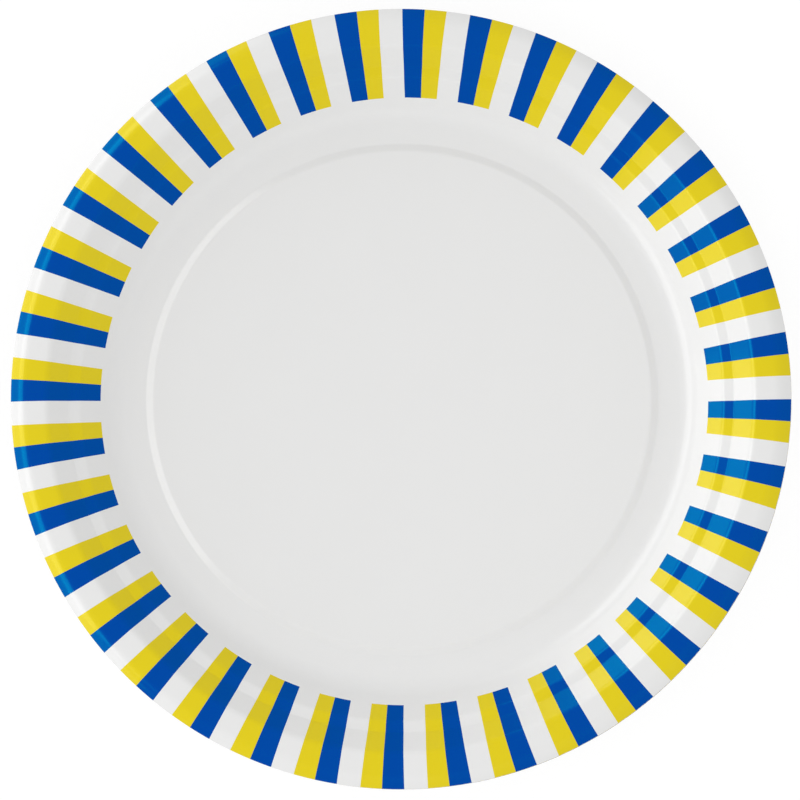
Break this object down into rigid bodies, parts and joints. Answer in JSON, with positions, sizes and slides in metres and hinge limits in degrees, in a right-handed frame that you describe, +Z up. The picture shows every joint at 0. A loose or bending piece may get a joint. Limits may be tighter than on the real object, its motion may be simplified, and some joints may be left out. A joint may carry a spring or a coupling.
{
  "type": "stack of paper plates",
  "caption": "Nested stack of round pressed paper plates with a raised centre panel, a stepped wall, a flat brim and radial stripes in blue, yellow and white.",
  "frame": {"origin": "centre of the lowest plate's foot ring, on the surface that the stack stands on", "axes": "+Z up along the plates' common axis; +X to the right and +Y to the top of the picture, which looks straight down"},
  "size_m": [0.23, 0.23, 0.0224],
  "materials": {
    "printed_board": "glossy coating over white board, radial stripes printed on the rim, bare board below"
  },
  "bodies": {
    "root": {"plate_1": "printed_board", "plate_2": "printed_board", "plate_3": "printed_board", "plate_4": "printed_board", "plate_5": "printed_board", "plate_6": "printed_board", "plate_7": "printed_board", "plate_8": "printed_board"}
  },
  "joints": []
}
